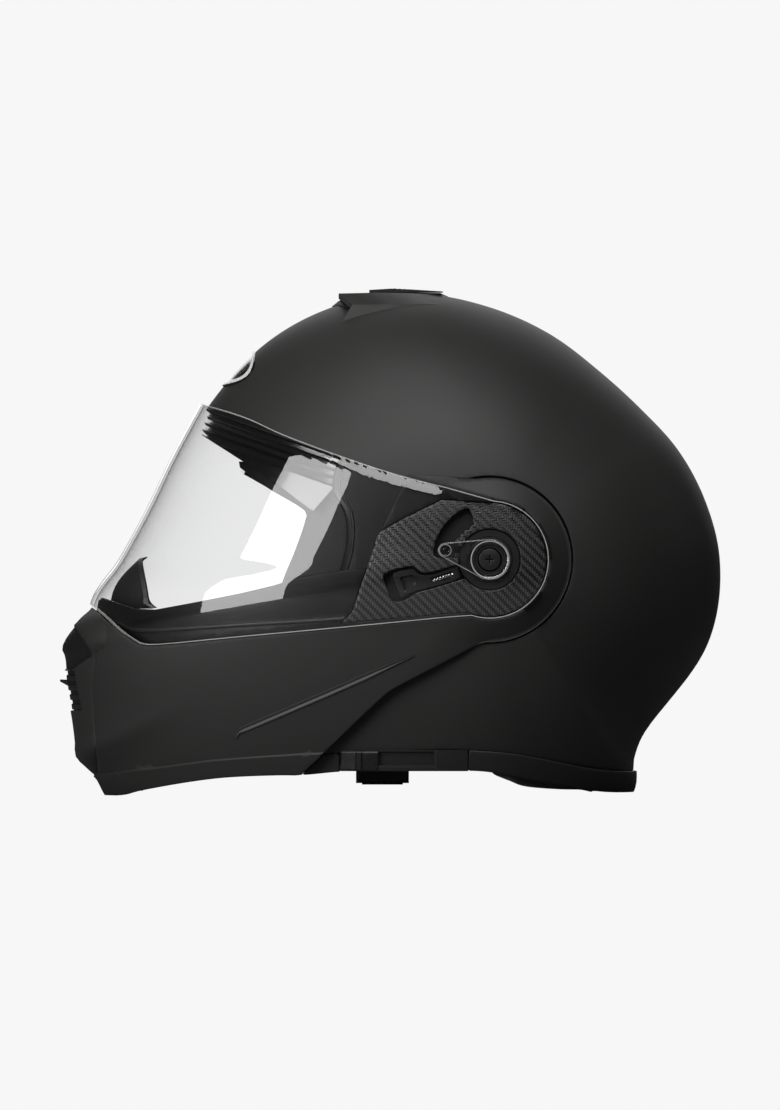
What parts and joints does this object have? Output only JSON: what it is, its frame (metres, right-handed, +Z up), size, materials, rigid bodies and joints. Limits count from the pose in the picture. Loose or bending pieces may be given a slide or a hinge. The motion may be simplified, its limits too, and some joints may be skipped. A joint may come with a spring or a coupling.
{
  "type": "modular motorcycle helmet",
  "caption": "Flip-up full-face motorcycle helmet with a hinged chin bar, clear visor, drop-down sun visor, vents, padded lining and a buckled chin strap.",
  "frame": {"origin": "on the ground, under the middle of the helmet's box", "axes": "+Z up; the face looks along -Y; +X is the wearer's left"},
  "size_m": [0.262, 0.3502, 0.2688],
  "materials": {
    "shell": "matte paint",
    "trim": "satin",
    "gloss_black": "gloss",
    "foam": "matte",
    "lining": "brushed knit",
    "vent_plastic": "satin",
    "silver": "polished",
    "steel": "satin",
    "screw_black": "satin",
    "sun_lens": "gloss",
    "clear_lens": "gloss",
    "webbing": "woven",
    "red_plastic": "satin",
    "carbon": "twill pattern"
  },
  "bodies": {
    "shell": {"outer_shell": "shell", "lower_edge_trim": "trim", "eyeport_gasket": "trim", "brow_frame": "gloss_black", "eps_liner": "foam", "crown_pad": "lining", "cheek_pad_left": "lining", "cheek_pad_right": "lining", "neck_roll": "lining", "top_vent_scoop": "shell", "brow_badge": "silver", "pivot_base_left": "steel", "pivot_base_right": "steel", "pivot_screw_left": "screw_black", "pivot_screw_right": "screw_black", "sun_visor_pin_left": "steel", "sun_visor_pin_right": "steel", "sun_slider_track": "vent_plastic", "latch_striker_left": "steel", "latch_striker_right": "steel", "strap_anchor_left": "steel", "strap_anchor_right": "steel", "chin_strap_left": "webbing", "chin_strap_right": "webbing", "buckle_frame": "vent_plastic", "buckle_pin": "steel", "strap_tongue": "steel"},
    "top_vent_slider": {"top_vent_slider": "vent_plastic"},
    "sun_visor": {"sun_visor": "sun_lens"},
    "sun_slider": {"sun_slider_knob": "vent_plastic"},
    "buckle_lever": {"buckle_lever": "red_plastic"},
    "chin_bar": {"chin_bar_shell": "shell", "chin_pad": "foam", "breath_guard": "vent_plastic", "chin_vent_grille": "vent_plastic", "hinge_arm_left": "steel", "hinge_arm_right": "steel", "side_plate_left": "carbon", "side_plate_right": "carbon", "visor_hub_left": "vent_plastic", "visor_hub_right": "vent_plastic", "hinge_screws": "steel", "latch_catch_left": "steel", "latch_catch_right": "steel", "button_housing": "vent_plastic", "visor_seal": "trim"},
    "chin_vent_shutter": {"chin_vent_shutter": "vent_plastic"},
    "release_button": {"release_button": "red_plastic"},
    "release_lever_left": {"release_lever_left": "vent_plastic", "lever_spring_left": "silver"},
    "release_lever_right": {"release_lever_right": "vent_plastic", "lever_spring_right": "silver"},
    "visor": {"visor_lens": "clear_lens", "visor_boss_left": "clear_lens", "visor_boss_right": "clear_lens"}
  },
  "joints": [
    {"name": "chin_bar_hinge", "type": "hinge", "parent": "shell", "child": "chin_bar", "pos_m": [0, 0.0525, 0.125], "axis": [-1, 0, 0], "range_deg": [0, 80]},
    {"name": "visor_hinge", "type": "hinge", "parent": "chin_bar", "child": "visor", "pos_m": [0, 0.0525, 0.125], "axis": [-1, 0, 0], "range_deg": [0, 45]},
    {"name": "sun_visor_hinge", "type": "hinge", "parent": "shell", "child": "sun_visor", "pos_m": [0, 0.0525, 0.125], "axis": [1, 0, 0], "range_deg": [0, 38]},
    {"name": "sun_slider_slide", "type": "slide", "parent": "shell", "child": "sun_slider", "axis": [0.0698, 0.9976, 0], "range_m": [0, 0.028]},
    {"name": "top_vent_slide", "type": "slide", "parent": "shell", "child": "top_vent_slider", "axis": [0, 1, 0], "range_m": [0, 0.008]},
    {"name": "chin_vent_slide", "type": "slide", "parent": "chin_bar", "child": "chin_vent_shutter", "axis": [0, 0, 1], "range_m": [0, 0.005]},
    {"name": "release_button_slide", "type": "slide", "parent": "chin_bar", "child": "release_button", "axis": [0, 0, 1], "range_m": [0, 0.0025], "stiffness_N_per_m": 300, "springref_m": -0.002},
    {"name": "release_lever_left_slide", "type": "slide", "parent": "chin_bar", "child": "release_lever_left", "axis": [0, -0.9563, -0.2924], "range_m": [0, 0.004], "stiffness_N_per_m": 300, "springref_m": -0.002},
    {"name": "release_lever_right_slide", "type": "slide", "parent": "chin_bar", "child": "release_lever_right", "axis": [0, -0.9563, -0.2924], "range_m": [0, 0.004], "stiffness_N_per_m": 300, "springref_m": -0.002},
    {"name": "buckle_lever_hinge", "type": "hinge", "parent": "shell", "child": "buckle_lever", "pos_m": [0.0304, -0.004, 0.0076], "axis": [0, -1, 0], "range_deg": [0, 20]}
  ],
  "couplings": [
    {"joint": "sun_slider_slide", "follows": "sun_visor_hinge", "m_per_rad": 0.0422}
  ]
}
